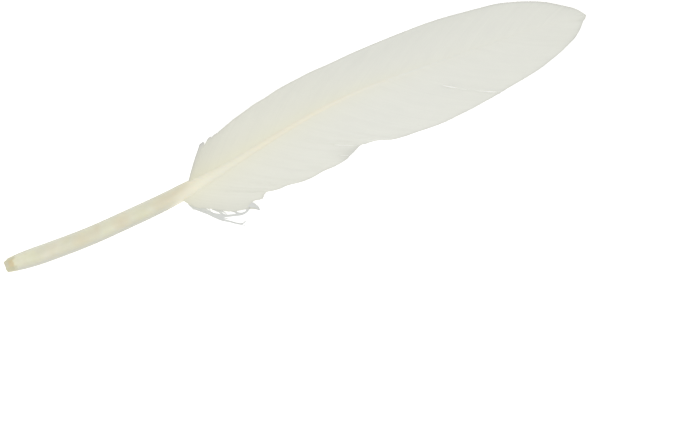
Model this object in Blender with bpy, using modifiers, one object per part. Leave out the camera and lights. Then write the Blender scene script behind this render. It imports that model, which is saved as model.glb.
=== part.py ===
"""Goose quill feather, lying on a flat surface with its outer side up.

Metres, +X from the quill's cut end to the tip, +Y towards the narrow vane, +Z up.
The shaft is one horn piece: a round barrel that thins into the rachis. On each side
of it grows a vane of barbs, which cling together in locks. The wide vane has a long
split, a notch in its edge and a few loose locks at its base.

The driving dimensions are places on the feather in millimetres: X along the straight
line from the quill to the tip, Y across it, and Z up from the surface. The finished
pieces are then set about the row's origin.
"""

import bmesh
import bpy
from mathutils import Vector

MM = 0.001

# Row origin, in feather millimetres: the middle of the feather's outline, on the surface

ROW_ORIGIN = Vector((99.45, 0.03, 0.0))

# Shaft: where its middle line runs, seen from above and from the side, and how thick it is

BARREL_RADIUS = 2.85
SHAFT_START_X = -0.6
SHAFT_END_X = 196.0
SHAFT_RINGS_MM = 4.5
SHAFT_BEVEL_RESOLUTION = 4
SHAFT_Y = [
    (-0.6, -0.25), (14.0, -1.35), (28.0, -1.95), (43.0, -1.75), (58.0, -1.1), (72.0, 0.3),
    (85.0, 2.4), (98.0, 4.35), (110.0, 5.8),
    (122.0, 6.4), (132.0, 6.3), (142.0, 5.7), (160.0, 4.6), (178.0, 3.25), (196.0, 1.7),
]
SHAFT_Z = [
    (-0.6, 2.15), (4.0, 2.55), (10.0, 3.1), (30.0, 4.5),
    (60.0, 6.4), (90.0, 7.5), (115.0, 7.7), (140.0, 6.9), (165.0, 4.9), (185.0, 2.5), (196.0, 1.0),
]
SHAFT_RADIUS = [
    (-0.6, 2.28), (4.0, 2.68), (10.0, 2.85), (50.0, 2.80), (62.0, 2.45),
    (72.0, 1.95), (85.0, 1.45), (100.0, 1.10), (125.0, 0.80), (160.0, 0.48), (196.0, 0.22),
]

# Pit in the quill's cut end, and the small flat that the barrel rests on

PIT_RADIUS = 1.55
PIT_FLOOR_RADIUS = 0.9
PIT_DEPTH = 3.2
REST_BOX = Vector((16.0, 12.0, 4.0))

# Vanes: sheets of barbs that start beside the shaft and run out to an edge

GAP = 0.32
SHEET_THICKNESS = 0.50
ROOT_LIFT = 0.30
RIDGE_HEIGHT = 0.11
LOCK_INDENT = 0.22
DROOP_POWER = 1.35
ROWS = 7
LOCKS_PER_VANE = 34

# Narrow vane: root place along the shaft against how far ahead of it the barb ends

NARROW_ROOTS = (62.8, 195.4)
NARROW_LEAD = [
    (62.8, 8.6), (66.0, 11.0), (80.0, 16.5), (100.0, 19.5), (140.0, 20.5), (170.0, 15.5), (195.4, 4.5),
]
NARROW_BOW = [(62.8, -0.02), (66.0, 0.04), (80.0, 0.08), (195.4, 0.08)]
NARROW_EDGE = [
    (71.4, 11.0), (74.5, 11.7), (78.5, 12.9), (84.0, 14.5), (92.0, 16.1), (100.0, 17.3),
    (112.0, 18.4), (128.0, 18.8), (144.0, 18.5), (156.0, 17.8), (168.0, 16.1),
    (176.0, 14.7), (184.0, 12.0), (190.0, 9.1), (196.0, 4.9), (199.9, 0.95),
]
NARROW_EDGE_Z = [(71.0, 3.4), (84.0, 1.7), (100.0, 0.55), (115.0, 0.30), (185.0, 0.30), (200.0, 0.42)]

# Wide vane, above its loose base locks

WIDE_ROOTS = (63.2, 195.4)
WIDE_LEAD = [(63.2, 19.6), (95.0, 22.5), (140.0, 26.5), (170.0, 20.5), (195.4, 4.3)]
WIDE_BOW = [(63.2, 0.04), (80.0, 0.08), (195.4, 0.08)]
WIDE_EDGE = [
    (82.8, -12.6), (85.4, -12.0), (88.8, -11.9), (92.0, -12.0), (99.0, -12.7), (107.0, -12.4), (112.5, -11.4),
    (118.0, -9.6), (122.0, -9.6), (128.0, -11.6), (136.0, -12.7), (144.0, -13.1),
    (158.0, -12.3), (172.0, -10.6), (180.0, -9.4), (188.0, -7.1), (194.0, -4.4), (199.7, 0.0),
]
WIDE_EDGE_Z = [
    (66.0, 4.4), (76.0, 2.8), (86.0, 1.6), (100.0, 0.55), (115.0, 0.30), (185.0, 0.30), (200.0, 0.42),
]

# Slits between locks of the wide vane: root place, width at the root, and the rows of
# the sheet that are open, of ROWS from the shaft to the edge

SPLIT = (140.2, 0.55, (3, 7))
NOTCH = (95.6, 1.30, (5, 7))

# Loose base locks of the wide vane: each side's root place, bend and tip, and the open
# rows between the lock and the one above it

LOOSE_LOCKS = [
    (((59.2, -4.0), (64.3, -13.2), (74.4, -18.9)), ((59.8, -3.9), (65.2, -12.3), (74.7, -18.3)), (5, 7)),
    (((60.4, -3.8), (66.6, -14.6), (77.8, -14.7)), ((60.9, -3.7), (67.0, -13.0), (78.2, -14.1)), (3, 6)),
    (((61.4, -3.7), (67.8, -11.9), (80.1, -15.3)), ((62.2, -3.5), (69.4, -10.6), (81.0, -13.3)), (6, 7)),
]

HORN = ("horn", (0.82, 0.80, 0.68, 1.0), 0.35)
VANE = ("white_vane", (0.88, 0.88, 0.83, 1.0), 0.80)


def smooth_value(stations, x):
    """The value at x of the smooth curve through (place, value) stations."""
    last = len(stations) - 1

    def slope(i):
        before, after = max(i - 1, 0), min(i + 1, last)
        return (stations[after][1] - stations[before][1]) / (stations[after][0] - stations[before][0])

    x = min(max(x, stations[0][0]), stations[last][0])
    i = 0
    while i < last - 1 and x > stations[i + 1][0]:
        i += 1
    (x0, y0), (x1, y1) = stations[i], stations[i + 1]
    span = x1 - x0
    t = (x - x0) / span
    ends = y0 * (1 + 2 * t) * (1 - t) ** 2 + y1 * t * t * (3 - 2 * t)
    bends = slope(i) * t * (1 - t) ** 2 - slope(i + 1) * t * t * (1 - t)
    return ends + bends * span


def row_point(x, y, z):
    """A place in feather millimetres, in the row's metres."""
    return (Vector((x, y, z)) - ROW_ORIGIN) * MM


def material(name, colour, roughness):
    made = bpy.data.materials.new(name)
    made.use_nodes = True
    shader = made.node_tree.nodes["Principled BSDF"]
    shader.inputs["Base Color"].default_value = colour
    shader.inputs["Roughness"].default_value = roughness
    made.diffuse_color = colour
    return made


def add_object(name, data, collection, finish=None):
    made = bpy.data.objects.new(name, data)
    collection.objects.link(made)
    if finish:
        made.data.materials.clear()
        made.data.materials.append(finish)
    return made


def hide_cutter(cutter):
    cutter.hide_render = True
    cutter.display_type = "WIRE"


def cut(target, cutter):
    boolean = target.modifiers.new("cut_" + cutter.name, "BOOLEAN")
    boolean.operation = "DIFFERENCE"
    boolean.solver = "EXACT"
    boolean.object = cutter


# Shaft

def shaft_point(x):
    return row_point(x, smooth_value(SHAFT_Y, x), smooth_value(SHAFT_Z, x))


def shaft_curve():
    """Barrel and rachis as one tapering tube along the shaft's middle line."""
    curve = bpy.data.curves.new("shaft_line", "CURVE")
    curve.dimensions = "3D"
    curve.bevel_depth = BARREL_RADIUS * MM
    curve.bevel_resolution = SHAFT_BEVEL_RESOLUTION
    curve.use_fill_caps = True
    length = SHAFT_END_X - SHAFT_START_X
    rings = round(length / SHAFT_RINGS_MM)
    line = curve.splines.new("POLY")
    line.points.add(rings)
    for i, point in enumerate(line.points):
        x = SHAFT_START_X + length * i / rings
        point.co = (*shaft_point(x), 1.0)
        point.radius = smooth_value(SHAFT_RADIUS, x) / BARREL_RADIUS
    return curve


def mesh_of_curve(name, curve, collection, finish):
    """The curve's tube as a mesh object with its caps welded on."""
    holder = add_object(name + "_line", curve, collection)
    bpy.context.view_layer.update()
    graph = bpy.context.evaluated_depsgraph_get()
    mesh = bpy.data.meshes.new_from_object(holder.evaluated_get(graph))
    bm = bmesh.new()
    bm.from_mesh(mesh)
    bmesh.ops.remove_doubles(bm, verts=bm.verts, dist=0.00001)
    bm.to_mesh(mesh)
    bm.free()
    made = add_object(name, mesh, collection, finish)
    made.matrix_world = holder.matrix_world
    bpy.data.objects.remove(holder)
    return made


def pit_cutter(collection):
    """Tapered plug that hollows the cut end, set along the barrel's first stretch."""
    start, inner = shaft_point(SHAFT_START_X), shaft_point(SHAFT_START_X + PIT_DEPTH)
    along = (inner - start).normalized()
    mesh = bpy.data.meshes.new("pit")
    bm = bmesh.new()
    bmesh.ops.create_cone(
        bm, cap_ends=True, segments=12,
        radius1=PIT_RADIUS * MM, radius2=PIT_FLOOR_RADIUS * MM, depth=2 * PIT_DEPTH * MM,
    )
    bm.to_mesh(mesh)
    bm.free()
    cutter = add_object("pit_cutter", mesh, collection)
    cutter.rotation_mode = "QUATERNION"
    cutter.rotation_quaternion = along.to_track_quat("Z", "Y")
    cutter.location = start
    hide_cutter(cutter)
    return cutter


def rest_cutter(collection):
    """Box under the barrel whose top is the surface that the feather lies on."""
    mesh = bpy.data.meshes.new("rest")
    bm = bmesh.new()
    bmesh.ops.create_cube(bm, size=1.0)
    bmesh.ops.scale(bm, vec=REST_BOX * MM, verts=bm.verts)
    bm.to_mesh(mesh)
    bm.free()
    cutter = add_object("rest_cutter", mesh, collection)
    cutter.location = row_point(0.0, 0.0, -REST_BOX.z / 2)
    hide_cutter(cutter)
    return cutter


def make_shaft(parts, cutters, finish):
    shaft = mesh_of_curve("shaft", shaft_curve(), parts, finish)
    cut(shaft, pit_cutter(cutters))
    cut(shaft, rest_cutter(cutters))
    shaft.data.shade_smooth()
    return shaft


# Vanes

def bent_line(root, bend, tip, share):
    """A place on the curve from root to tip that leans towards bend."""
    rest = 1 - share
    return root * rest * rest + bend * 2 * rest * share + tip * share * share


def root_place(side, x):
    """Where the barb at x leaves the shaft, seen from above. side is +1 for the narrow vane."""
    return Vector((x, smooth_value(SHAFT_Y, x) + side * (smooth_value(SHAFT_RADIUS, x) + GAP)))


def barb_line(side, root_x, lead, bow, edge, indent):
    """Root, bend and tip of one barb line of a vane."""
    root = root_place(side, root_x)
    tip_x = root_x + smooth_value(lead, root_x)
    tip = Vector((tip_x, smooth_value(edge, tip_x)))
    tip -= (tip - root).normalized() * indent
    along = tip - root
    bend = root + along / 2 + Vector((-along.y, along.x)) * side * smooth_value(bow, root_x)
    return root, bend, tip


def vane_height(root_x, tip_x, edge_z, share, ridge):
    """Height of the sheet: beside the shaft at the root, drooping to the edge."""
    root_z = smooth_value(SHAFT_Z, root_x) + ROOT_LIFT * smooth_value(SHAFT_RADIUS, root_x)
    drop = share ** DROOP_POWER
    ripple = ridge * RIDGE_HEIGHT * 4 * share * (1 - share)
    return root_z + (smooth_value(edge_z, tip_x) - root_z) * drop + ripple


def lock_lines(side, roots, lead, bow, edge, slits):
    """Barb lines of a vane's locks, a ridge and a valley each, and its slits.

    Returns a list of (line, ridge), and {index of a slit's first line: its open rows}.
    """
    first, last = roots
    places = []
    for i in range(2 * LOCKS_PER_VANE + 1):
        x = first + (last - first) * i / (2 * LOCKS_PER_VANE)
        if all(abs(x - slit_x) > width for slit_x, width, _ in slits):
            places.append((x, 1 if i % 2 else -1))
    for slit_x, width, _ in slits:
        places += [(slit_x - width / 2, -1), (slit_x + width / 2, -1)]
    places.sort()
    lines = []
    for x, ridge in places:
        indent = 0.0 if ridge > 0 or x in roots else LOCK_INDENT
        lines.append((barb_line(side, x, lead, bow, edge, indent), ridge))
    opened = {}
    for slit_x, width, rows in slits:
        opened[places.index((slit_x - width / 2, -1))] = rows
    return lines, opened


def sheet_mesh(name, lines, opened, edge_z):
    """Grid with a column for each barb line, opened at the slits, bent to the vane's shape."""
    columns = len(lines) - 1
    bm = bmesh.new()
    bmesh.ops.create_grid(bm, x_segments=columns, y_segments=ROWS, size=0.5)
    gaps = []
    for face in bm.faces:
        middle = face.calc_center_median()
        column = int((middle.x + 0.5) * columns)
        row = int((middle.y + 0.5) * ROWS)
        first, end = opened.get(column, (ROWS, ROWS))
        if first <= row < end:
            gaps.append(face)
    bmesh.ops.delete(bm, geom=gaps, context="FACES")
    for vert in bm.verts:
        (root, bend, tip), ridge = lines[round((vert.co.x + 0.5) * columns)]
        share = vert.co.y + 0.5
        place = bent_line(root, bend, tip, share)
        vert.co = row_point(*place, vane_height(root.x, tip.x, edge_z, share, ridge))
    bmesh.ops.recalc_face_normals(bm, faces=bm.faces)
    mesh = bpy.data.meshes.new(name)
    bm.to_mesh(mesh)
    bm.free()
    return mesh


def make_vane(name, mesh, parts, finish):
    vane = add_object(name, mesh, parts, finish)
    solid = vane.modifiers.new("sheet", "SOLIDIFY")
    solid.thickness = SHEET_THICKNESS * MM
    solid.offset = 0.0
    return vane


def make_narrow_vane(parts, finish):
    lines, opened = lock_lines(1, NARROW_ROOTS, NARROW_LEAD, NARROW_BOW, NARROW_EDGE, [])
    return make_vane("narrow_vane", sheet_mesh("narrow_vane", lines, opened, NARROW_EDGE_Z), parts, finish)


def make_wide_vane(parts, finish):
    """The locks above the base, with the loose base locks as its first columns."""
    lines, opened = [], {}
    for outer, inner, rows in LOOSE_LOCKS:
        for root, bend, tip in (outer, inner):
            lines.append(((Vector(root), Vector(bend), Vector(tip)), 0))
        opened[len(lines) - 1] = rows
    upper, upper_opened = lock_lines(-1, WIDE_ROOTS, WIDE_LEAD, WIDE_BOW, WIDE_EDGE, [SPLIT, NOTCH])
    opened.update({len(lines) + index: rows for index, rows in upper_opened.items()})
    lines += upper
    return make_vane("wide_vane", sheet_mesh("wide_vane", lines, opened, WIDE_EDGE_Z), parts, finish)


def main():
    for old in list(bpy.data.objects):
        bpy.data.objects.remove(old)
    parts = bpy.data.collections.new("goose_quill_feather")
    cutters = bpy.data.collections.new("cutters")
    bpy.context.scene.collection.children.link(parts)
    bpy.context.scene.collection.children.link(cutters)
    horn, vane = material(*HORN), material(*VANE)
    make_shaft(parts, cutters, horn)
    make_narrow_vane(parts, vane)
    make_wide_vane(parts, vane)


main()
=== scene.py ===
"""Goose quill feather, dressed: the horn quill with its stained cut end, and two vanes
made of separate barbs, lying on a white surface and seen from straight above.

Places on the feather are in its own millimetres: X along the straight line from the
quill to the tip, Y across it, Z up from the surface. They are the same as in the frame.
"""

import math

import bmesh
import bpy
import numpy as np
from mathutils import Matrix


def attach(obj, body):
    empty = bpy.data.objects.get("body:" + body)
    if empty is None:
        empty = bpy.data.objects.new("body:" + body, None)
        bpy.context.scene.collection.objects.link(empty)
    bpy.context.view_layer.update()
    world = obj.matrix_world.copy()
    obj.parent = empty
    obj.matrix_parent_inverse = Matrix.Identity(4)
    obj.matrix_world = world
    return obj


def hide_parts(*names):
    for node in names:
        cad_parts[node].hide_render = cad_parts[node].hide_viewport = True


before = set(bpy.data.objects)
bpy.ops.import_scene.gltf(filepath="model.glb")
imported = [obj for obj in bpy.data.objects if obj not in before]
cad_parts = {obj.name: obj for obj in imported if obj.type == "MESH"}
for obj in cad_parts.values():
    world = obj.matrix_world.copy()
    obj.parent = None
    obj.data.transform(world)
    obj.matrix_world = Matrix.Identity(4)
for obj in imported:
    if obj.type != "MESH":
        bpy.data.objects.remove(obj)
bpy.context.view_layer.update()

# One millimetre in the row's metres, the feather's place that is the row's origin, and the seeds
# that the random draws start from. Each vane adds its side to the first.

MM = 0.001
ROW_ORIGIN = np.array((99.45, 0.03, 0.0))
SEED = 7
STRAND_SEED = 18
BARBULE_SEED = 19

# Shaft: where its middle line runs, seen from above and from the side, how thick it is, and how
# finely it is cut into faces

SHAFT_START_X = -1.0
SHAFT_END_X = 199.2
SHAFT_Y = [
    (-1.0, -0.15), (5.0, -0.75), (14.0, -1.45), (28.0, -2.00), (43.0, -1.75), (51.0, -1.5),
    (58.0, -1.05), (72.0, 0.35), (85.0, 2.4), (98.0, 4.35), (110.0, 5.8), (122.0, 6.4), (132.0, 6.3),
    (142.0, 5.7), (160.0, 4.6), (178.0, 3.25), (196.0, 1.5), (199.4, 0.8),
]
SHAFT_Z = [
    (-1.0, 2.10), (4.0, 2.55), (10.0, 3.1), (30.0, 4.5), (60.0, 6.4), (90.0, 7.5), (115.0, 7.7),
    (140.0, 6.9), (165.0, 4.9), (185.0, 2.5), (196.0, 1.0), (199.4, 0.62),
]
SHAFT_RADIUS = [
    (-1.0, 2.12), (2.0, 2.50), (5.0, 2.78), (10.0, 2.96), (25.0, 2.93), (50.0, 2.82), (62.0, 2.55),
    (72.0, 1.95), (85.0, 1.45), (100.0, 1.10), (125.0, 0.80), (160.0, 0.48), (196.0, 0.22),
    (199.4, 0.10),
]
SHAFT_SIDES = 48
SHAFT_RINGS = 260
SHAFT_SOFT_ANGLE = 50.0

# Rachis: how high its back is in shares of the radius, the stretch over which the round barrel
# turns into it, and the groove below it in shares of the radius

RACHIS_TOP = [(60.0, 0.72), (78.0, 0.60), (105.0, 0.38), (135.0, 0.28), (160.0, 0.22), (199.0, 0.20)]
RACHIS_STARTS = (56.0, 74.0)
GROOVE_DEPTH = 0.38
GROOVE_WIDTH = 0.62

# Cut end: the wall and the pit inside it, the chipped corner, the nicks round the rim as depth,
# number and turn, how far along the rim's unevenness reaches, and the plug of pulp

WALL = 0.42
PIT_DEPTH = 3.6
PIT_FLOOR_LEFT = 0.8
CHIP_DEPTH = 1.5
NICKS = ((0.07, 5, 0.0), (0.05, 11, 1.0))
RIM_REACH = 5.0
PULP_SIZE = (1.4, 1.62, 1.62)
PULP_PLACE = (2.7, -0.12, 0.22)

# Faint stains inside the horn: place along the quill, place across it in shares of the
# radius, reach along in millimetres, and strength towards tan (above 0) or yellow (below 0).
# All reach equally far across.

STAINS = [
    (15.6, -0.3, 3.0, 0.12), (24.5, -0.1, 3.6, 0.34), (30.6, 0.4, 1.8, 0.26), (38.4, 0.0, 3.4, 0.36),
    (45.5, -0.3, 3.0, -0.25), (51.0, 0.3, 2.4, 0.14), (54.6, 0.0, 3.0, 0.22), (60.0, 0.6, 3.0, 0.26),
    (9.0, -0.2, 3.0, -0.22), (20.0, 0.5, 2.0, -0.25), (34.0, -0.4, 2.2, -0.25),
]
STAIN_HALF_WIDTH = 0.85

# Barbs: how many on each side, in how many segments that crowd towards the tip, and how far
# apart they stand before they are laid, and for the streaks on them

BARBS = 360
BARB_SEGMENTS = 18
SEGMENTS_CROWD = 1.35
ROW_STEP = 4.0
STREAK_STEP = 0.37

# One barb: a ridge, a keel that gets shallower outwards, and two thin wings that overlap the
# next ones', closing to a point

WING_REACH = 0.62
RIDGE = 0.045
KEEL = 0.10
WING_THICK = 0.012
WING_TILT = 0.020
KEEL_LOST = 0.6
POINT_MM = 0.45
POINT_POWER = 0.6
POINT_WIDTH = 0.04
BARB_SOFT_ANGLE = 45.0

# How the barbs lie: where they leave the shaft, how they droop, and how much they vary, each
# with the spans of its waves along the shaft. They stay calm over the first and last stretch.

ROOT_SHOULDER = [
    (60.0, 0.76), (100.0, 0.74), (125.0, 0.70), (145.0, 0.36), (160.0, 0.15), (199.0, 0.05),
]
ROOT_SUNK = 0.02
DROOP_POWER = 1.35
LOWEST_Z = 0.05
CALM_MM = 4.0
LEAN = 0.08
LEAN_SPANS = (31.0, 13.0, 7.0, 3.1)
LIFT = 0.040
LIFT_SPANS = (11.0, 5.0, 2.7)
UNEVEN = 0.005
UNEVEN_SPANS = (9.0, 2.3, 1.1)
UNEVEN_NOISE = 0.0015

# Tone of the barbs: how it varies, and how much darker they are towards the edge and at the start
# of a vane. Painted shade: further in where the barbs are bunched at the edge, beside a slit, and
# all over the narrow vane's base. A bunch is a root place, its half width, and how much further in
# the edge's shade reaches. Barbs shorter than the full shade's length have less of the edge's shade.

TONE = 0.985
TONE_WAVES = 0.005
TONE_SPANS = (23.0, 8.0, 3.3, 1.7)
TONE_NOISE = 0.0035
EDGE_SHADE = 0.19
EDGE_SHADE_MM = 0.75
EDGE_SHADE_VARIES = 0.35
EDGE_SHADE_SPANS = (17.0, 6.0, 2.6)
BUNCHED_EDGE_SHADE = (92.8, 2.4, 2.0)
FULL_SHADE_LENGTH = 9.0
LEAST_EDGE_SHADE = 0.4
NARROW_SHADE = 0.10
SHADE_MM = 8.0
FIRST_SHADE = 0.12
FIRST_SHADE_MM = 0.5
PRESSED_SHADE = 0.22

# Cream beside the shaft: its strength and its reach at places along the shaft, and how creamy
# the vane is all over there

NARROW_CREAM = 1.4
CREAM_PLACES = (60.0, 75.0, 100.0, 125.0, 150.0, 200.0)
CREAM_STRENGTH = (0.55, 0.42, 0.36, 0.30, 0.10, 0.0)
CREAM_REACH = (5.5, 4.2, 3.4, 3.0, 2.0, 1.5)
CREAM_ALL_OVER = (0.16, 0.14, 0.08, 0.0, 0.0, 0.0)

# The two vanes: where their barbs leave the shaft, how much further along the tips lie, how far
# the barbs bow out, and where the edge runs, seen from above and in height

NARROW_ROOTS = (63.15, 198.6)
NARROW_LEAD = [
    (63.15, 8.25), (64.3, 9.5), (66.0, 10.8), (80.0, 16.5), (100.0, 19.5), (140.0, 20.5), (170.0, 15.5),
    (190.0, 7.2), (198.6, 1.9),
]
NARROW_BOW = [(63.15, 0.035), (66.0, 0.04), (80.0, 0.08), (195.4, 0.08)]
NARROW_EDGE = [
    (71.4, 11.3), (72.2, 11.5), (73.2, 11.3), (74.3, 11.95), (76.8, 12.25), (80.0, 13.15), (84.0, 14.4),
    (88.0, 15.3), (92.0, 16.2), (96.0, 16.75), (100.0, 17.5), (104.0, 17.95), (112.0, 18.55),
    (120.0, 18.65), (128.0, 18.9), (144.0, 18.65), (156.0, 18.0), (168.0, 16.35), (176.0, 15.0),
    (184.0, 12.3), (190.0, 9.5), (193.8, 6.9), (196.2, 5.15), (197.4, 4.3), (198.0, 3.65), (198.6, 3.0),
    (199.2, 2.2), (199.8, 1.3), (200.2, 0.6), (200.5, 0.15),
]
NARROW_EDGE_Z = [(71.0, 3.4), (84.0, 1.7), (100.0, 0.55), (115.0, 0.30), (185.0, 0.30), (200.0, 0.42)]

WIDE_ROOTS = (63.2, 198.6)
WIDE_LEAD = [(63.2, 19.6), (95.0, 22.5), (140.0, 26.5), (170.0, 20.5), (190.0, 8.4), (198.6, 1.7)]
WIDE_BOW = [(63.2, 0.04), (80.0, 0.08), (195.4, 0.08)]
WIDE_EDGE = [
    (82.8, -12.7), (84.4, -11.35), (86.1, -11.6), (88.7, -12.0), (92.0, -12.05), (96.0, -12.7),
    (100.0, -12.8), (104.0, -12.35), (108.0, -12.35), (112.0, -11.85), (114.0, -11.05), (116.0, -10.2),
    (118.0, -9.4), (120.0, -9.7), (122.0, -9.85), (124.0, -10.3), (128.0, -11.75), (132.0, -12.4),
    (136.0, -12.65), (144.0, -13.25), (158.0, -12.5), (172.0, -10.8), (180.0, -9.6), (188.0, -7.4),
    (192.0, -5.85), (194.5, -4.75), (195.6, -3.95), (197.3, -2.55), (198.2, -1.6), (198.8, -0.95),
    (199.4, -0.6), (200.0, -0.1), (200.3, 0.5),
]
WIDE_EDGE_Z = [
    (66.0, 4.4), (76.0, 2.8), (86.0, 1.6), (100.0, 0.55), (115.0, 0.30), (185.0, 0.30), (200.0, 0.42),
]

# Slits: root place, how far along the shaft the barbs beside it are pressed away, and how far
# apart they are pressed, in millimetres along the shaft, at shares of the barb

SPLIT = (139.5, 1.4, [
    (0.0, 0.0), (0.38, 0.0), (0.41, 0.46), (0.46, 0.72), (0.51, 0.46), (0.54, 0.18), (0.59, 0.12),
    (0.61, 0.26), (0.64, 0.10), (0.74, 0.10), (0.79, 0.34), (0.88, 0.58), (0.93, 0.34), (0.95, 0.10),
    (1.0, 0.10),
])
NOTCH = (95.9, 1.2, [
    (0.0, 0.0), (0.64, 0.0), (0.71, 0.50), (0.80, 0.62), (0.88, 0.42), (0.95, 0.1), (1.0, 0.1),
])
EDGE_NOTCH = (91.65, 0.9, [(0.0, 0.0), (0.83, 0.0), (0.88, 0.20), (0.94, 0.24), (0.98, 0.12), (1.0, 0.1)])
NARROW_NICKS = [
    (63.95, 0.9, [(0.0, 0.0), (0.84, 0.0), (0.90, 0.20), (1.0, 0.85)]),
    (65.3, 0.4, [(0.0, 0.0), (0.90, 0.0), (0.95, 0.20), (1.0, 0.75)]),
    (66.6, 0.4, [(0.0, 0.0), (0.92, 0.0), (0.96, 0.18), (1.0, 0.60)]),
]

# Base of the wide vane: the curled line that bounds its first barbs, how many fill the space
# up to the regular ones, how much of each is left, and how they vary. Those next to the line
# are darker.

BASE_LINE = [
    (58.8, -3.0), (60.5, -5.1), (61.9, -6.8), (63.4, -7.7), (64.8, -8.4), (66.2, -9.2), (67.5, -10.0),
    (69.2, -11.1), (71.0, -12.2), (73.1, -13.0), (75.5, -13.5), (77.4, -14.1), (79.0, -14.8),
    (80.1, -15.7),
]
BASE_BARBS = 22
BASE_LEFT = [
    (0.0, 1.0), (0.18, 0.97), (0.28, 0.91), (0.40, 0.875), (0.66, 0.875), (0.80, 0.90), (0.90, 0.97),
    (1.0, 1.0),
]
BASE_LEFT_NOISE = 0.004
BASE_TONE_NOISE = 0.006
BASE_SHADE = 0.07
BASE_SHADE_POWER = 1.5
BASE_FIRST_REACH = 0.06

# Strands that have come loose below it: line seen from above, barbs side by side, and how
# far they spread at the root and at the tip. Those at a strand's sides are shorter by a random
# share, all of them wobble a little, and each has a long point.

STRANDS = [
    ([(60.4, -4.7), (61.1, -6.1), (61.9, -7.2), (63.0, -8.4), (64.5, -9.9), (66.0, -11.6),
      (67.5, -13.2), (69.0, -14.4), (70.4, -15.4), (71.8, -16.5), (73.0, -17.3), (74.2, -17.4),
      (75.0, -16.7)], 4, 0.42, 0.14),
    ([(60.5, -5.5), (61.8, -7.3), (63.2, -8.8), (64.7, -10.2), (66.1, -11.8), (67.5, -13.4),
      (69.0, -14.6), (70.6, -15.7), (72.2, -16.9), (73.5, -17.9), (74.4, -19.0)], 3, 0.20, 0.05),
    ([(60.6, -5.8), (61.0, -6.8), (61.3, -7.7)], 2, 0.10, 0.16),
    ([(62.1, -6.7), (63.4, -7.6), (64.6, -8.7), (65.5, -10.0), (66.3, -11.0), (68.0, -12.2),
      (69.5, -13.1), (71.2, -13.6), (73.4, -14.2), (75.1, -14.6), (76.5, -14.3), (77.9, -13.5)],
     4, 0.34, 0.36),
    ([(60.9, -6.0), (62.3, -7.4), (63.6, -8.7), (65.0, -10.2), (66.5, -11.7), (67.8, -12.7),
      (69.1, -13.7), (70.4, -14.4)], 3, 0.26, 0.10),
    ([(75.2, -12.8), (75.9, -13.2), (76.4, -13.8), (76.5, -14.5)], 2, 0.20, 0.15),
    ([(64.6, -8.0), (65.5, -8.8), (65.8, -9.7), (66.2, -10.8)], 1, 0.0, 0.0),
    ([(66.6, -9.3), (67.8, -10.4), (68.5, -11.4), (69.0, -12.3), (69.9, -13.1)], 4, 0.42, 0.22),
    ([(68.2, -10.2), (69.0, -11.1), (69.7, -12.0), (70.2, -12.9)], 2, 0.28, 0.16),
    ([(70.8, -11.6), (72.2, -12.3), (72.9, -13.1), (73.6, -13.9), (74.5, -14.4)], 4, 0.40, 0.30),
    ([(77.6, -12.0), (79.0, -12.8), (79.8, -13.8), (80.2, -14.8), (80.3, -15.6)], 3, 0.30, 0.12),
    ([(77.2, -12.4), (78.6, -13.1), (79.5, -14.0), (80.0, -14.9), (80.2, -15.6)], 3, 0.30, 0.10),
    ([(76.8, -12.8), (78.3, -13.4), (79.3, -14.2), (79.9, -15.1), (80.2, -15.7)], 3, 0.26, 0.10),
]
STRAND_HALF = 0.145
STRAND_SHORTER = (0.02, 0.16)
STRAND_WOBBLE = 0.05
STRAND_WOBBLE_TURNS = (14, 22)
STRAND_POINT_MM = 2.5
STRAND_POINT_WIDTH = 0.1
# Painted shade: the loose strands are darker, as thin strands seen edge on look
STRAND_SHADE = 0.96
STRAND_REST_Z = [(59.0, 6.6), (62.0, 5.6), (66.0, 4.6), (70.0, 3.9), (76.0, 3.3), (82.0, 2.7)]

# Barbules along the strands: how many, how long and how thick, the angles at which they open,
# and how they vary

BARBULES_PER_MM = 5.0
BARBULE_REACH = 0.50
BARBULE_LENGTHS = (0.5, 1.25)
BARBULE_HALF = 0.030
BARBULE_TAPER = 0.8
BARBULE_ANGLES = (0.35, 0.95)
BARBULE_CURL = 0.3
BARBULE_SHIFT = 0.004
BARBULE_RISE = 0.10
BARBULE_TONE = 0.97
BARBULE_TONE_LENGTH = 5.0

# Colours of the barbs: two whites, two greyer ones of the loose strands, greyed as painted shade
# of thin strands seen edge on, cream beside the shaft, and grey at the very edge

WHITES = ((0.817, 0.821, 0.757, 1.0), (0.834, 0.839, 0.770, 1.0))
LOOSE_SHADED_WHITES = ((0.735, 0.747, 0.725, 1.0), (0.765, 0.777, 0.75, 1.0))
CREAM = (0.862, 0.84, 0.65, 1.0)
EDGE_GREY = (0.80, 0.80, 0.79, 1.0)

# Colours of the horn: at shares of its length, slanting across it, with the stains, clouds and
# specks of the barrel and painted shade on its sides, and at shares of the amber stretch at the
# cut end, also with painted shade on its sides. A light stop near a third of the length is partly
# a painted highlight on the rachis.

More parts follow.
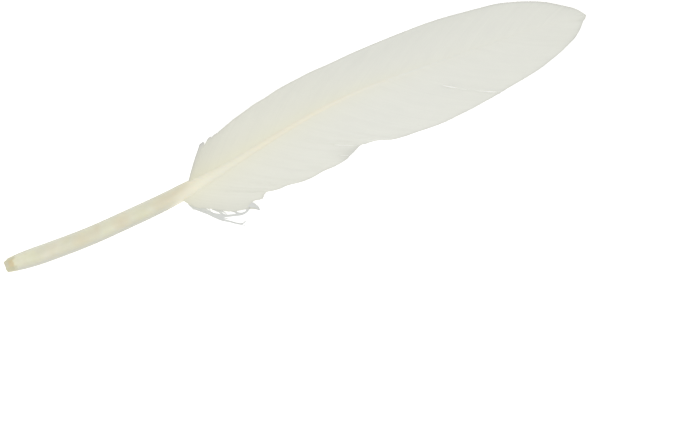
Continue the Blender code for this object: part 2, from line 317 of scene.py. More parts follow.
HORN_LENGTH = 200.0
HORN_SLANT = 4.5
HORN_LIT_SIDE = 0.12
HORN_ALONG = [
    (0.0, (0.78, 0.765, 0.58, 1.0)),
    (0.03, (0.77, 0.765, 0.60, 1.0)),
    (0.05, (0.745, 0.745, 0.60, 1.0)),
    (0.07, (0.782, 0.762, 0.615, 1.0)),
    (0.095, (0.752, 0.747, 0.60, 1.0)),
    (0.12, (0.75, 0.75, 0.595, 1.0)),
    (0.155, (0.738, 0.735, 0.583, 1.0)),
    (0.18, (0.758, 0.75, 0.595, 1.0)),
    (0.205, (0.76, 0.75, 0.595, 1.0)),
    (0.23, (0.718, 0.712, 0.57, 1.0)),
    (0.255, (0.765, 0.753, 0.595, 1.0)),
    (0.285, (0.77, 0.755, 0.60, 1.0)),
    (0.308, (0.845, 0.815, 0.66, 1.0)),
    # The light stop at 0.335 is the rachis's cream, partly a painted highlight on it.
    (0.335, (0.868, 0.842, 0.685, 1.0)),
    (0.37, (0.835, 0.818, 0.678, 1.0)),
    (0.45, (0.833, 0.798, 0.652, 1.0)),
    (0.56, (0.838, 0.803, 0.667, 1.0)),
    (0.66, (0.826, 0.812, 0.71, 1.0)),
    (0.71, (0.816, 0.822, 0.752, 1.0)),
    (1.0, (0.822, 0.833, 0.77, 1.0)),
]
HORN_TAN = (0.68, 0.54, 0.32, 1.0)
HORN_YELLOW = (0.72, 0.70, 0.38, 1.0)
HORN_CLOUDS = (0.62, 0.56, 0.44, 1.0)
HORN_SPECKS = (0.72, 0.69, 0.49, 1.0)
HORN_SHADED_SIDES = (0.56, 0.56, 0.48, 1.0)
AMBER_LENGTH = 6.0
AMBER_RAGGED = 2.2
AMBER_ALONG = [
    (0.0, (0.58, 0.55, 0.42, 1.0)),
    (0.10, (0.62, 0.54, 0.33, 1.0)),
    (0.30, (0.66, 0.56, 0.33, 1.0)),
    (0.42, (0.77, 0.75, 0.53, 1.0)),
]
AMBER_SHADED_SIDES = (0.56, 0.535, 0.36, 1.0)
PULP_DARK = (0.13, 0.07, 0.02, 1.0)
PULP_LIGHT = (0.34, 0.21, 0.07, 1.0)

# Camera: a long lens straight above, turned so that the feather slants up

SLANT = math.radians(23.228)
VIEW_MIDDLE = (102.85, -27.56, 4.0)
VIEW_WIDTH_MM = 215.85
LENS_MM = 200.0
SENSOR_MM = 36.0

# Light: two softboxes with their place, width in metres and power, a white room, and the white
# surface that glows a little

SOFTBOXES = [
    ("softbox_above", (-0.12, -0.30, 1.5), 1.6, 8.0),
    ("softbox_left", (-1.3, 0.5, 1.0), 0.8, 1.5),
]
ROOM_LIGHT = 0.68
SURFACE_SIZE = 6.0
SURFACE_GLOW = 0.40


def row_places(x, y, z):
    """Places in feather millimetres, in the row's metres."""
    return (np.stack(np.broadcast_arrays(x, y, z), axis=-1) - ROW_ORIGIN) * MM


def smooth_value(stations, x):
    """The value at x of the smooth curve through (place, value) stations."""
    places, values = np.array(stations, dtype=float).T
    slopes = np.empty_like(values)
    slopes[1:-1] = (values[2:] - values[:-2]) / (places[2:] - places[:-2])
    slopes[0] = (values[1] - values[0]) / (places[1] - places[0])
    slopes[-1] = (values[-1] - values[-2]) / (places[-1] - places[-2])
    x = np.clip(x, places[0], places[-1])
    i = np.clip(np.searchsorted(places, x, side="right") - 1, 0, len(places) - 2)
    span = places[i + 1] - places[i]
    t = (x - places[i]) / span
    ends = values[i] * (1 + 2 * t) * (1 - t) ** 2 + values[i + 1] * t * t * (3 - 2 * t)
    bends = slopes[i] * t * (1 - t) ** 2 - slopes[i + 1] * t * t * (1 - t)
    return ends + bends * span


def eased(t):
    """0 below 0, 1 above 1, and smooth between."""
    t = np.clip(t, 0.0, 1.0)
    return t * t * (3 - 2 * t)


# Working with objects as by hand

def begin():
    bpy.ops.object.select_all(action="DESELECT")


def vertex_places(mesh):
    places = np.empty(len(mesh.vertices) * 3)
    mesh.vertices.foreach_get("co", places)
    return places.reshape(-1, 3)


def set_vertex_places(mesh, places):
    mesh.vertices.foreach_set("co", places.astype(np.float32).ravel())
    mesh.update()


def add_attribute(mesh, name, kind, values):
    attribute = mesh.attributes.new(name, kind, "POINT")
    field = "vector" if kind == "FLOAT_VECTOR" else "value"
    attribute.data.foreach_set(field, np.asarray(values, dtype=np.float32).ravel())


def edit_select(obj, mode, chosen):
    """Goes into edit mode on obj and selects only the elements that chosen accepts."""
    bpy.context.view_layer.objects.active = obj
    bpy.ops.object.mode_set(mode="EDIT")
    bpy.ops.mesh.select_mode(type=mode)
    bpy.ops.mesh.select_all(action="DESELECT")
    bm = bmesh.from_edit_mesh(obj.data)
    elements = {"VERT": bm.verts, "EDGE": bm.edges, "FACE": bm.faces}[mode]
    for element in elements:
        if chosen(element):
            element.select_set(True)
    bmesh.update_edit_mesh(obj.data)


def leave_edit():
    bpy.ops.object.mode_set(mode="OBJECT")


def is_long(edge):
    """An edge along an upright unit prism."""
    low, high = edge.verts
    return abs(low.co.z - high.co.z) > 0.5


def prism(name, sides, rings):
    """An upright unit prism from z -0.5 to 0.5, cut into rings."""
    begin()
    bpy.ops.mesh.primitive_cylinder_add(vertices=sides, radius=1.0, depth=1.0)
    made = bpy.context.object
    made.name = name
    edit_select(made, "EDGE", is_long)
    bpy.ops.mesh.subdivide(number_cuts=rings - 1)
    leave_edit()
    return made


def face_out(obj):
    edit_select(obj, "FACE", lambda face: True)
    bpy.ops.mesh.normals_make_consistent(inside=False)
    leave_edit()


def soften(obj, angle):
    """Shades obj smooth, except at edges that turn by more than the angle in degrees."""
    begin()
    obj.select_set(True)
    bpy.context.view_layer.objects.active = obj
    bpy.ops.object.shade_smooth_by_angle(angle=math.radians(angle))


def finish_piece(obj, material, replaced=None):
    obj.data.materials.clear()
    obj.data.materials.append(material)
    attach(obj, "root")
    if replaced:
        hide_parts(replaced)


# Materials

class Nodes:
    """Adds and links the nodes of one material."""

    def __init__(self, name):
        self.material = bpy.data.materials.new(name)
        self.material.use_nodes = True
        self.tree = self.material.node_tree
        self.shader = self.tree.nodes["Principled BSDF"]

    def add(self, kind, **settings):
        node = self.tree.nodes.new(kind)
        for name, value in settings.items():
            setattr(node, name, value)
        return node

    def link(self, output, node_input):
        self.tree.links.new(output, node_input)

    def attribute(self, name, output):
        return self.add("ShaderNodeAttribute", attribute_name=name).outputs[output]

    def ramp(self, value, stops):
        """A colour or a grey from a value, through (place, colour) stops."""
        node = self.add("ShaderNodeValToRGB")
        elements = node.color_ramp.elements
        elements[0].position, elements[0].color = stops[0]
        elements[1].position, elements[1].color = stops[-1]
        for place, colour in stops[1:-1]:
            elements.new(place).color = colour
        self.link(value, node.inputs["Fac"])
        return node.outputs["Color"]

    def mix(self, kind, share, first, second):
        node = self.add("ShaderNodeMix", data_type="RGBA", blend_type=kind)
        for socket, value in ((0, share), (6, first), (7, second)):
            if isinstance(value, bpy.types.NodeSocket):
                self.link(value, node.inputs[socket])
            else:
                node.inputs[socket].default_value = value
        return node.outputs[2]

    def maths(self, operation, *values):
        node = self.add("ShaderNodeMath", operation=operation)
        for socket, value in enumerate(values):
            if isinstance(value, bpy.types.NodeSocket):
                self.link(value, node.inputs[socket])
            else:
                node.inputs[socket].default_value = value
        return node.outputs[0]

    def noise(self, place, stretch, scale, detail=3.0):
        """Noise on a place stretched by three factors."""
        mapping = self.add("ShaderNodeMapping")
        mapping.inputs["Scale"].default_value = stretch
        self.link(place, mapping.inputs["Vector"])
        node = self.add("ShaderNodeTexNoise")
        node.inputs["Scale"].default_value = scale
        node.inputs["Detail"].default_value = detail
        self.link(mapping.outputs["Vector"], node.inputs["Vector"])
        return node.outputs["Fac"]

    def bump(self, height, strength, distance):
        node = self.add("ShaderNodeBump")
        node.inputs["Strength"].default_value = strength
        node.inputs["Distance"].default_value = distance
        self.link(height, node.inputs["Height"])
        self.link(node.outputs["Normal"], self.shader.inputs["Normal"])


def grey(level):
    return (level, level, level, 1.0)


def barb_material(name, dark, light):
    """White barbs: creamy beside the shaft, grey at the edge, with faint streaks and fine ribs, darkened
    by a tone that also carries painted shade.
    """
    nodes = Nodes(name)
    place = nodes.attribute("barb_place", "Vector")
    tone = nodes.attribute("barb_tone_and_shade", "Fac")
    cream = nodes.attribute("barb_cream", "Fac")
    streaks = nodes.noise(place, (0.10, 0.0, 0.35), 1.0)
    white = nodes.ramp(streaks, [(0.3, dark), (0.7, light)])
    warm = nodes.mix("MIX", cream, white, CREAM)
    edge = nodes.ramp(tone, [(0.70, grey(0.9)), (0.87, grey(0.0))])
    edged = nodes.mix("MIX", edge, warm, EDGE_GREY)
    toned = nodes.mix("MULTIPLY", 1.0, edged, nodes.ramp(tone, [(0.0, grey(0.0)), (1.0, grey(1.0))]))
    nodes.link(toned, nodes.shader.inputs["Base Color"])
    ribs = nodes.add("ShaderNodeTexWave", wave_type="BANDS", bands_direction="DIAGONAL")
    ribs.inputs["Scale"].default_value = 2.2
    nodes.link(place, ribs.inputs["Vector"])
    nodes.bump(ribs.outputs["Fac"], 0.12, 0.00002)
    nodes.shader.inputs["Roughness"].default_value = 0.72
    nodes.shader.inputs["Specular IOR Level"].default_value = 0.25
    nodes.shader.inputs["Sheen Weight"].default_value = 0.12
    nodes.shader.inputs["Sheen Roughness"].default_value = 0.4
    return nodes.material


def horn_body(nodes, place, along, across, off_middle):
    """Colour of the horn behind its cut end: a mottled barrel, the rachis, and painted shade
    that darkens the barrel towards its sides.
    """
    slanted = nodes.maths("SUBTRACT", along, nodes.maths("MULTIPLY", across, HORN_SLANT))
    length = nodes.maths("DIVIDE", slanted, HORN_LENGTH)
    in_barrel = nodes.ramp(length, [(0.28, grey(1.0)), (0.305, grey(0.0))])
    stain = nodes.attribute("horn_stain", "Fac")
    tan = nodes.ramp(stain, [(0.5, grey(0.0)), (1.0, grey(1.0))])
    warmed = nodes.mix("MIX", tan, nodes.ramp(length, HORN_ALONG), HORN_TAN)
    yellow = nodes.ramp(stain, [(0.0, grey(1.0)), (0.5, grey(0.0))])
    yellowed = nodes.mix("MIX", yellow, warmed, HORN_YELLOW)
    patches = nodes.noise(place, (0.16, 0.8, 0.8), 1.0, 4.0)
    clouds = nodes.ramp(patches, [(0.42, grey(0.0)), (0.62, grey(0.22))])
    clouded = nodes.mix("MIX", nodes.maths("MULTIPLY", clouds, in_barrel), yellowed, HORN_CLOUDS)
    fine = nodes.noise(place, (0.55, 1.7, 1.7), 1.0, 2.0)
    specks = nodes.ramp(fine, [(0.50, grey(0.0)), (0.66, grey(0.20))])
    mottled = nodes.mix("MIX", nodes.maths("MULTIPLY", specks, in_barrel), clouded, HORN_SPECKS)
    # Painted shade: the barrel darkens towards its sides and its rim, least towards the lit side.
    outer = nodes.ramp(off_middle, [
        (0.42, grey(0.0)), (0.60, grey(0.14)), (0.80, grey(0.38)), (0.97, grey(0.92)),
    ])
    rim = nodes.ramp(nodes.maths("ABSOLUTE", across), [(0.84, grey(0.0)), (0.97, grey(0.92))])
    sides = nodes.maths("MULTIPLY", nodes.maths("MAXIMUM", outer, rim), in_barrel)
    return nodes.mix("MIX", sides, mottled, HORN_SHADED_SIDES)


def amber_end(nodes, place, along, off_middle, body):
    """The stained cut end, with a ragged bound: amber in the middle, and olive painted shade on
    both sides of it.
    """
    grain = nodes.noise(place, (0.9, 2.2, 2.2), 1.0)
    shift = nodes.maths("MULTIPLY", nodes.maths("SUBTRACT", grain, 0.5), AMBER_RAGGED)
    reached = nodes.maths("DIVIDE", nodes.maths("ADD", along, shift), AMBER_LENGTH)
    # Painted shade: the end turns olive and darker towards its sides, least towards the lit side.
    sides = nodes.ramp(off_middle, [(0.34, grey(0.0)), (0.58, grey(1.0))])
    stained = nodes.mix("MIX", sides, nodes.ramp(reached, AMBER_ALONG), AMBER_SHADED_SIDES)
    share = nodes.ramp(reached, [(0.32, grey(0.88)), (0.50, grey(0.0))])
    return nodes.mix("MIX", share, body, stained)


def horn_material():
    """Translucent horn: a mottled barrel with painted shade at its sides, a cream rachis, an amber end.
    """
    nodes = Nodes("quill_horn")
    place = nodes.attribute("horn_place", "Vector")
    split = nodes.add("ShaderNodeSeparateXYZ")
    nodes.link(place, split.inputs[0])
    along, across = split.outputs["X"], split.outputs["Y"]
    off_middle = nodes.maths("ABSOLUTE", nodes.maths("SUBTRACT", across, HORN_LIT_SIDE))
    body = horn_body(nodes, place, along, across, off_middle)
    nodes.link(amber_end(nodes, place, along, off_middle, body), nodes.shader.inputs["Base Color"])
    lines = nodes.noise(place, (0.08, 6.0, 6.0), 1.0)
    nodes.bump(lines, 0.25, 0.00005)
    nodes.shader.inputs["Roughness"].default_value = 0.48
    nodes.shader.inputs["Subsurface Weight"].default_value = 0.25
    nodes.shader.inputs["Subsurface Scale"].default_value = 0.002
    nodes.shader.inputs["Subsurface Radius"].default_value = (1.0, 0.9, 0.7)
    nodes.shader.inputs["Coat Weight"].default_value = 0.15
    nodes.shader.inputs["Coat Roughness"].default_value = 0.25
    return nodes.material


def pulp_material():
    """Dried pulp in the mouth of the quill: dark amber, crumbly."""
    nodes = Nodes("dried_pulp")
    place = nodes.add("ShaderNodeTexCoord").outputs["Object"]
    crumbs = nodes.noise(place, (1.0, 1.0, 1.0), 1800.0)
    colour = nodes.ramp(crumbs, [(0.35, PULP_DARK), (0.65, PULP_LIGHT)])
    nodes.link(colour, nodes.shader.inputs["Base Color"])
    nodes.bump(crumbs, 0.8, 0.0003)
    nodes.shader.inputs["Roughness"].default_value = 0.7
    return nodes.material


# Quill

def shaft_middle(x):
    return np.stack([x, smooth_value(SHAFT_Y, x), smooth_value(SHAFT_Z, x)], axis=-1)


def shaft_frame(x):
    """Middle line of the shaft at x, and the unit vectors along, aside and up from it."""
    step = 0.5
    along = shaft_middle(x + step) - shaft_middle(x - step)
    along /= np.linalg.norm(along, axis=-1, keepdims=True)
    aside = np.cross((0.0, 0.0, 1.0), along)
    aside /= np.linalg.norm(aside, axis=-1, keepdims=True)
    return shaft_middle(x), along, aside, np.cross(along, aside)


def shaft_section(x, aside, up):
    """Scales a round section: flatter on top and grooved below along the rachis."""
    rachis = eased((x - RACHIS_STARTS[0]) / (RACHIS_STARTS[1] - RACHIS_STARTS[0]))
    up = np.where(up > 0, up * (1 + rachis * (smooth_value(RACHIS_TOP, x) - 1)), up)
    groove = rachis * GROOVE_DEPTH * np.clip(1 - np.abs(aside) / GROOVE_WIDTH, 0, 1)
    return aside, np.where(up < 0, up + groove, up)


def ragged_end(angle):
    """How far back the cut rim lies at each angle round the quill: a chipped corner and nicks."""
    back = CHIP_DEPTH * eased((np.cos(angle) - 0.55) / 0.45) * (0.75 + 0.25 * np.sin(angle))
    for depth, number, turn in NICKS:
        back = back + depth * np.sin(number * angle + turn)
    return back


def make_quill(material):
    quill = prism("quill", SHAFT_SIDES, SHAFT_RINGS)
    unit = vertex_places(quill.data)
    x = SHAFT_START_X + (SHAFT_END_X - SHAFT_START_X) * (unit[:, 2] + 0.5)
    middle, along, aside, up = shaft_frame(x)
    out, high = shaft_section(x, unit[:, 0], unit[:, 1])
    radius = smooth_value(SHAFT_RADIUS, x)
    angle = np.arctan2(unit[:, 1], unit[:, 0])
    back = ragged_end(angle) * eased(1 - (x - SHAFT_START_X) / RIM_REACH)
    places = middle + aside * (out * radius)[:, None] + up * (high * radius)[:, None]
    places = places + along * back[:, None]
    places[:, 2] = np.maximum(places[:, 2], 0.0)
    set_vertex_places(quill.data, row_places(*places.T))
    stain = np.full(len(x), 0.5)
    for place, side, reach, strength in STAINS:
        near = np.exp(-((x - place) / reach) ** 2 - ((out - side) / STAIN_HALF_WIDTH) ** 2)
        stain += 0.5 * strength * near
    add_attribute(quill.data, "horn_place", "FLOAT_VECTOR", np.stack([x, out, high], axis=-1))
    add_attribute(quill.data, "horn_stain", "FLOAT", np.clip(stain, 0, 1))
    start = row_places(*places[x < SHAFT_START_X + 0.01].T).mean(axis=0)
    inwards = along[0] * PIT_DEPTH * MM

    def is_cut_end(face):
        return len(face.verts) > 4 and face.calc_center_median().x < start[0] + MM

    edit_select(quill, "FACE", is_cut_end)
    bpy.ops.mesh.inset(thickness=WALL * MM)
    bpy.ops.mesh.extrude_region_move(TRANSFORM_OT_translate={"value": tuple(inwards)})
    floor_scale = (1.0, PIT_FLOOR_LEFT, PIT_FLOOR_LEFT)
    bpy.ops.transform.resize(value=floor_scale, center_override=tuple(start + inwards))
    leave_edit()
    face_out(quill)
    soften(quill, SHAFT_SOFT_ANGLE)
    finish_piece(quill, material, "shaft")
    return start


def make_pulp(mouth, material):
    """A crumbly plug of dried pulp a little way inside the mouth."""
    begin()
    bpy.ops.mesh.primitive_ico_sphere_add(subdivisions=4, radius=1.0)
    pulp = bpy.context.object
    pulp.name = "pulp_plug"
    unit = vertex_places(pulp.data)
    lumps = 1 + 0.10 * np.sin(5 * unit[:, 0] + 3 * unit[:, 1]) * np.cos(6 * unit[:, 2])
    lumps += 0.05 * np.sin(13 * unit[:, 1] + 2) * np.sin(11 * unit[:, 2] + 9 * unit[:, 0])
    size = np.array(PULP_SIZE) * MM
    places = unit * lumps[:, None] * size + mouth + np.array(PULP_PLACE) * MM
    set_vertex_places(pulp.data, places)
    pulp.data.shade_smooth()
    finish_piece(pulp, material)


# Vanes

def bent_line(root, bend, tip, share):
    """Places on the curves from root to tip that lean towards bend."""
    rest = 1 - share
    return root * rest * rest + bend * 2 * rest * share + tip * share * share


def smooth_line(points, share):
    """Places on the smooth curve through the points, at shares of its length."""
    points = np.array(points)
    steps = np.linalg.norm(np.diff(points, axis=0), axis=1)
    marks = np.concatenate([[0.0], np.cumsum(steps)]) / steps.sum()
    columns = [smooth_value(list(zip(marks, column)), share) for column in points.T]
    return np.stack(columns, axis=-1)


def line_length(points):
    return float(np.linalg.norm(np.diff(np.array(points), axis=0), axis=1).sum())


class Vane:
    """One side of the feather: where its barbs leave the shaft, and where they end."""

    def __init__(self, side, roots, lead, bow, edge, edge_z, slits, shade, cream, bunch_shade=None):
        self.side = side
        self.roots = roots
        self.lead = lead
        self.bow = bow
        self.edge = edge
        self.edge_z = edge_z
        self.slits = slits
        self.shade = shade
        self.cream = cream
        self.bunch_shade = bunch_shade

    def ends(self, root_x):
        """Root and tip, seen from above, of the barbs that leave the shaft at root_x."""
        reach = smooth_value(ROOT_SHOULDER, root_x) * smooth_value(SHAFT_RADIUS, root_x)
        root = np.stack([root_x, smooth_value(SHAFT_Y, root_x) + self.side * reach], axis=-1)
        tip_x = root_x + smooth_value(self.lead, root_x)
        return root, np.stack([tip_x, smooth_value(self.edge, tip_x)], axis=-1)

    def length(self, root_x):
        root, tip = self.ends(root_x)
        return np.linalg.norm(tip - root, axis=-1)

    def line(self, root_x, share):
        """Places, seen from above, at shares of the barbs that leave the shaft at root_x."""
        root, tip = self.ends(root_x)
        along = tip - root
        aside = np.stack([-along[..., 1], along[..., 0]], axis=-1)
        bend = root + along / 2 + aside * self.side * smooth_value(self.bow, root_x)[..., None]
        return bent_line(root, bend, tip, share[..., None])

    def height(self, root_x, share):
        """Height of the vane: at the shaft's shoulder, drooping to the surface at the edge."""
        tip_x = root_x + smooth_value(self.lead, root_x)
        shoulder = np.sqrt(1 - smooth_value(ROOT_SHOULDER, root_x) ** 2)
        rise = smooth_value(RACHIS_TOP, root_x) * shoulder * smooth_value(SHAFT_RADIUS, root_x)
        root_z = smooth_value(SHAFT_Z, root_x) + rise - ROOT_SUNK
        return root_z + (smooth_value(self.edge_z, tip_x) - root_z) * share ** DROOP_POWER

    def pressed_aside(self, barb_x, share):
        """How far the barbs that leave the shaft at barb_x are pressed away from each slit."""
        moved = np.zeros_like(share)
        for slit_x, reach, widths in self.slits:
            away = barb_x - slit_x
            push = np.interp(share, *zip(*widths)) / 2
            moved += np.where(away < 0, -1.0, 1.0) * push * np.exp(-np.abs(away) / reach)
        return moved


class Barbs:
    """One object of many barbs, all copies of one six-sided barb."""

    def __init__(self, name, count, segments=BARB_SEGMENTS, sides=6):
        self.obj = prism(name, sides, segments)
        rows = self.obj.modifiers.new("row", "ARRAY")
        rows.count = count
        rows.use_relative_offset = False
        rows.use_constant_offset = True
        rows.constant_offset_displace = (ROW_STEP, 0.0, 0.0)
        bpy.ops.object.modifier_apply(modifier="row")
        unit = vertex_places(self.obj.data)
        self.index = np.rint(unit[:, 0] / ROW_STEP).astype(int)
        self.out = unit[:, 0] - ROW_STEP * self.index
        self.high = unit[:, 1]
        self.across = np.sign(np.rint(self.out))
        self.share = 1 - (0.5 - unit[:, 2]) ** SEGMENTS_CROWD

    def rise(self, tilt=WING_TILT):
        """Height of each corner over the vane: the ridge, the keel below, and tilted wings."""
        middle = np.where(self.high > 0, RIDGE, -KEEL * (1 - KEEL_LOST * self.share))
        wing = np.where(self.high > 0, WING_THICK, -WING_THICK) + tilt * self.across
        return np.where(self.across == 0, middle, wing)

    def narrowing(self, length, point_mm=POINT_MM, point_width=POINT_WIDTH):
        """Width share: whole along the barb, closing to a point over its last stretch."""
        left = np.clip((1 - self.share) * length / point_mm, 0.0, 1.0) ** POINT_POWER
        return left * (1 - point_width) + point_width

    def finish(self, flat, z, tone, cream, length, material, replaced=None, edge_reach=EDGE_SHADE_MM):
        """Sets the places, and what the material reads along the barbs."""
        mesh = self.obj.data
        set_vertex_places(mesh, row_places(flat[:, 0], flat[:, 1], np.maximum(z, LOWEST_Z)))
        to_end = (1 - self.share) * length
        strength = EDGE_SHADE * np.clip(length / FULL_SHADE_LENGTH, LEAST_EDGE_SHADE, 1.0)
        edge_tone = 1 - strength * np.exp(-to_end / edge_reach)
        place = np.stack([self.share * length, self.across, self.index * STREAK_STEP], axis=-1)
        # The tone also carries painted shade: at the narrow vane's base, bunched edges, slits and loose
        # strands.
        add_attribute(mesh, "barb_tone_and_shade", "FLOAT", np.clip(tone * edge_tone, 0, 1))
        add_attribute(mesh, "barb_cream", "FLOAT", cream)
        add_attribute(mesh, "barb_place", "FLOAT_VECTOR", place)
        face_out(self.obj)
        soften(self.obj, BARB_SOFT_ANGLE)
        finish_piece(self.obj, material, replaced)


def random_waves(draw, places, spans, size):
    """A smooth random curve: waves of the given spans with random phases."""
    total = np.zeros_like(places)
    for span in spans:
        phase = draw.uniform(0, 2 * math.pi)
        strength = draw.uniform(0.5, 1.0)
        total += np.sin(places * 2 * math.pi / span + phase) * strength
    return total * size / len(spans)


def cream_share(flat):
    """How creamy the barbs are: most beside the shaft near its base, less towards the tip."""
    x = flat[:, 0]
    from_shaft = np.abs(flat[:, 1] - smooth_value(SHAFT_Y, x)) - smooth_value(SHAFT_RADIUS, x)
    strength = np.interp(x, CREAM_PLACES, CREAM_STRENGTH)
    reach = np.interp(x, CREAM_PLACES, CREAM_REACH)
    everywhere = np.interp(x, CREAM_PLACES, CREAM_ALL_OVER)
    return everywhere + strength * np.exp(-np.clip(from_shaft, 0, None) / reach)


def base_barbs_lie(barbs, vane, draw, width, tone, count):
    """Places, heights and tones of the barbs from BASE_LINE to the vane's first regular one."""
    total = len(tone) + count
    family = np.clip((barbs.index + 0.5) / count, 0, 1)
    left = np.interp(family, *zip(*BASE_LEFT))
    left *= 1 + draw.normal(0, BASE_LEFT_NOISE, total)[barbs.index]
    share = barbs.share * left
    over = np.clip(family + barbs.across * WING_REACH / count * width, 0, 1)[:, None]
    start = np.full(len(share), vane.roots[0])
    flat = smooth_line(BASE_LINE, share) * (1 - over) + vane.line(start, share) * over
    own_tone = tone[:4].mean() + draw.normal(0, BASE_TONE_NOISE, total)[barbs.index]
    near_line = BASE_SHADE * (1 - family) ** BASE_SHADE_POWER
    next_to_line = FIRST_SHADE / 2 * np.exp(-family / BASE_FIRST_REACH)
    return flat, vane.height(start, share), own_tone * (1 - near_line - next_to_line)


def make_vane(name, vane, material, replaced, base_barbs=0):
    """Lays regular barbs all along the shaft, after base barbs that lead over from BASE_LINE."""
    draw = np.random.default_rng(SEED + vane.side)
    first, last = vane.roots
    spacing = (last - first) / (BARBS - 1)
    barbs = Barbs(name, base_barbs + BARBS)
    at = barbs.index - base_barbs
    regular = at >= 0
    at = np.clip(at, 0, BARBS - 1)

    root_places = first + spacing * np.arange(BARBS)
    inner = eased((root_places - first) / CALM_MM) * eased((last - root_places) / CALM_MM)
    lean = random_waves(draw, root_places, LEAN_SPANS, LEAN) * inner
    lift = random_waves(draw, root_places, LIFT_SPANS, LIFT) * inner
    left = 1 + random_waves(draw, root_places, UNEVEN_SPANS, UNEVEN)
    left += draw.normal(0, UNEVEN_NOISE, BARBS)
    tone = TONE + random_waves(draw, root_places, TONE_SPANS, TONE_WAVES)
    tone += draw.normal(0, TONE_NOISE, BARBS)
    # Painted shade over the narrow vane's base, fading along the shaft
    tone *= 1 - vane.shade * np.exp((first - root_places) / SHADE_MM)
    if not base_barbs:
        tone *= 1 - FIRST_SHADE * np.exp((first - root_places) / FIRST_SHADE_MM)
    edge_varies = random_waves(draw, root_places, EDGE_SHADE_SPANS, EDGE_SHADE_VARIES)
    edge_reach = EDGE_SHADE_MM * (1 + edge_varies)
    # Painted shade: the edge's darkening reaches further in where the barbs bunch and fold
    if vane.bunch_shade:
        bunch_x, bunch_half, bunch_reach = vane.bunch_shade
        edge_reach += bunch_reach * np.exp(-((root_places - bunch_x) / bunch_half) ** 2)

    length = vane.length(root_places)[at]
    width = barbs.narrowing(length)
    share = barbs.share * left[at]
    root_x = root_places[at] + lean[at] * barbs.share ** 2
    root_x += barbs.across * WING_REACH * spacing * width
    pressed = vane.pressed_aside(root_places[at], share)
    root_x = np.clip(root_x, first - spacing, last) + pressed
    flat = vane.line(root_x, share)
    z = vane.height(root_x, share) + lift[at] * 4 * barbs.share * (1 - barbs.share)
    # Painted shade on the barbs that are pressed aside beside a slit
    shade = tone[at] * (1 - PRESSED_SHADE * np.abs(pressed))

    if base_barbs:
        base_flat, base_z, base_tone = base_barbs_lie(barbs, vane, draw, width, tone, base_barbs)
        flat = np.where(regular[:, None], flat, base_flat)
        z = np.where(regular, z, base_z)
        shade = np.where(regular, shade, base_tone)

    z += barbs.rise() * width
    cream = vane.cream * cream_share(flat)
    barbs.finish(flat, z, shade, cream, length, material, replaced, edge_reach[at])


def strand_places(points, share, aside):
    """Places beside a strand's line, at distances aside from it, and the direction along it."""
    step = 0.01
    middle = smooth_line(points, share)
    ahead = smooth_line(points, np.clip(share + step, 0, 1))
    behind = smooth_line(points, np.clip(share - step, 0, 1))
    along = ahead - behind
    along /= np.linalg.norm(along, axis=-1, keepdims=True)
    across = np.stack([-along[:, 1], along[:, 0]], axis=-1)
    return middle + across * aside[:, None], along, across


def make_strands(material):
    """The strands that have come loose below the wide vane."""
    draw = np.random.default_rng(STRAND_SEED)
    members = [(strand, (k + 0.5) / strand[1] - 0.5) for strand in STRANDS for k in range(strand[1])]
    barbs = Barbs("loose_barbs", len(members))
    flat = np.zeros((len(barbs.index), 2))
    length = np.zeros(len(barbs.index))
    for number, ((points, _, root_spread, tip_spread), place) in enumerate(members):
        mine = barbs.index == number
        share = barbs.share[mine] * (1 - abs(place) * draw.uniform(*STRAND_SHORTER))
        own_length = line_length(points)
        spread = root_spread + (tip_spread - root_spread) * share
        wobble = STRAND_WOBBLE * np.sin(share * draw.uniform(*STRAND_WOBBLE_TURNS) + draw.uniform(0, 6))
        narrow = barbs.narrowing(own_length, STRAND_POINT_MM, STRAND_POINT_WIDTH)[mine]
        aside = place * 2 * spread + wobble + barbs.across[mine] * STRAND_HALF * narrow
        flat[mine] = strand_places(points, share, aside)[0]
        length[mine] = own_length
    z = smooth_value(STRAND_REST_Z, flat[:, 0]) + barbs.rise(0.0)
    barbs.finish(flat, z, np.full(len(z), STRAND_SHADE), np.zeros(len(z)), length, material)


def make_barbules(material):
    """The fine barbules that stand free along the loose strands."""
    draw = np.random.default_rng(BARBULE_SEED)
    starts = []
    for points, *_ in STRANDS:
        count = int(line_length(points) * BARBULES_PER_MM)
        starts += [(points, (k + 0.5) / count, side) for k in range(count) for side in (-1, 1)]
    hairs = Barbs("loose_barbules", len(starts), segments=3, sides=4)
    flat = np.zeros((len(hairs.index), 2))
    for number, (points, place, side) in enumerate(starts):
        mine = hairs.index == number
        share = hairs.share[mine]
        at = min(1.0, max(0.0, place + draw.uniform(-BARBULE_SHIFT, BARBULE_SHIFT)))
        root, along, across = strand_places(points, np.full(len(share), at), np.zeros(len(share)))
        reach = BARBULE_REACH * draw.uniform(*BARBULE_LENGTHS)
        open_angle = draw.uniform(*BARBULE_ANGLES) - BARBULE_CURL * share
        way = along * np.cos(open_angle)[:, None] + across * side * np.sin(open_angle)[:, None]
        thick = hairs.out[mine] * BARBULE_HALF * (1 - BARBULE_TAPER * share)
        flat[mine] = root + way * (share * reach)[:, None] + along * thick[:, None]
    thick = hairs.high * BARBULE_HALF * (1 - BARBULE_TAPER * hairs.share)
    z = smooth_value(STRAND_REST_Z, flat[:, 0]) + thick
    z += draw.normal(0, BARBULE_RISE, len(starts))[hairs.index] * hairs.share
    length = np.full(len(z), BARBULE_TONE_LENGTH)
    hairs.finish(flat, z, np.full(len(z), BARBULE_TONE), np.zeros(len(z)), length, material)


# Surface, light and camera

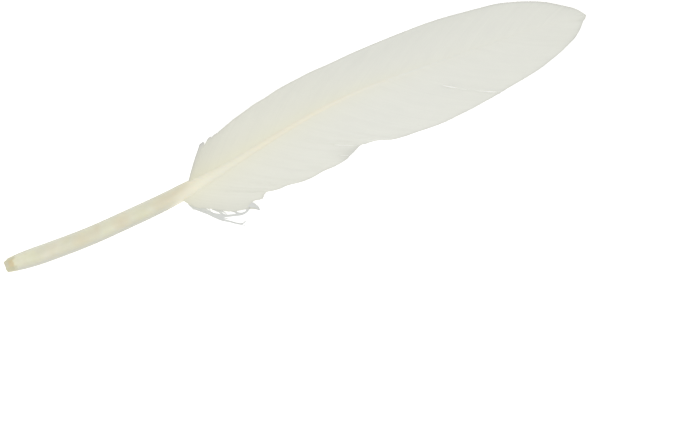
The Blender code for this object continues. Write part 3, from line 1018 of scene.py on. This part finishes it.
def make_floor():
    begin()
    bpy.ops.mesh.primitive_plane_add(size=SURFACE_SIZE)
    floor = bpy.context.object
    floor.name = "white_surface"
    nodes = Nodes("white_surface")
    nodes.shader.inputs["Base Color"].default_value = (0.95, 0.95, 0.95, 1.0)
    nodes.shader.inputs["Roughness"].default_value = 0.9
    nodes.shader.inputs["Specular IOR Level"].default_value = 0.1
    nodes.shader.inputs["Emission Color"].default_value = (1.0, 1.0, 1.0, 1.0)
    nodes.shader.inputs["Emission Strength"].default_value = SURFACE_GLOW
    floor.data.materials.append(nodes.material)


def make_light(name, place, size, power):
    """A square softbox that shines at the feather's middle."""
    data = bpy.data.lights.new(name, "AREA")
    data.size = size
    data.energy = power
    light = bpy.data.objects.new(name, data)
    bpy.context.scene.collection.objects.link(light)
    light.location = place
    x, y, z = place
    light.rotation_euler = (math.atan2(math.hypot(x, y), z), 0.0, math.atan2(y, x) + math.pi / 2)


def make_lights():
    for softbox in SOFTBOXES:
        make_light(*softbox)
    world = bpy.data.worlds.new("white_room")
    world.use_nodes = True
    background = world.node_tree.nodes["Background"]
    background.inputs["Color"].default_value = (1.0, 1.0, 1.0, 1.0)
    background.inputs["Strength"].default_value = ROOM_LIGHT
    bpy.context.scene.world = world


def make_camera():
    data = bpy.data.cameras.new("camera")
    data.lens = LENS_MM
    data.sensor_width = SENSOR_MM
    data.clip_end = 20.0
    camera = bpy.data.objects.new("camera", data)
    bpy.context.scene.collection.objects.link(camera)
    x, y, z = row_places(*VIEW_MIDDLE)
    height = VIEW_WIDTH_MM * MM * LENS_MM / SENSOR_MM
    camera.location = (x, y, z + height)
    camera.rotation_euler = (0.0, 0.0, -SLANT)
    bpy.context.scene.camera = camera


def main():
    bpy.context.scene.view_settings.view_transform = "Standard"
    make_camera()
    make_floor()
    make_lights()
    barbs = barb_material("white_barbs", *WHITES)
    # The loose strands' material is greyer: painted shade of thin strands seen edge on
    loose = barb_material("shaded_loose_barbs", *LOOSE_SHADED_WHITES)
    mouth = make_quill(horn_material())
    make_pulp(mouth, pulp_material())
    narrow = Vane(
        1, NARROW_ROOTS, NARROW_LEAD, NARROW_BOW, NARROW_EDGE, NARROW_EDGE_Z,
        slits=NARROW_NICKS, shade=NARROW_SHADE, cream=NARROW_CREAM,
    )
    wide = Vane(
        -1, WIDE_ROOTS, WIDE_LEAD, WIDE_BOW, WIDE_EDGE, WIDE_EDGE_Z,
        slits=[SPLIT, NOTCH, EDGE_NOTCH], shade=0.0, cream=1.0, bunch_shade=BUNCHED_EDGE_SHADE,
    )
    make_vane("narrow_barbs", narrow, barbs, "narrow_vane")
    make_vane("wide_barbs", wide, barbs, "wide_vane", BASE_BARBS)
    make_strands(loose)
    make_barbules(loose)


main()
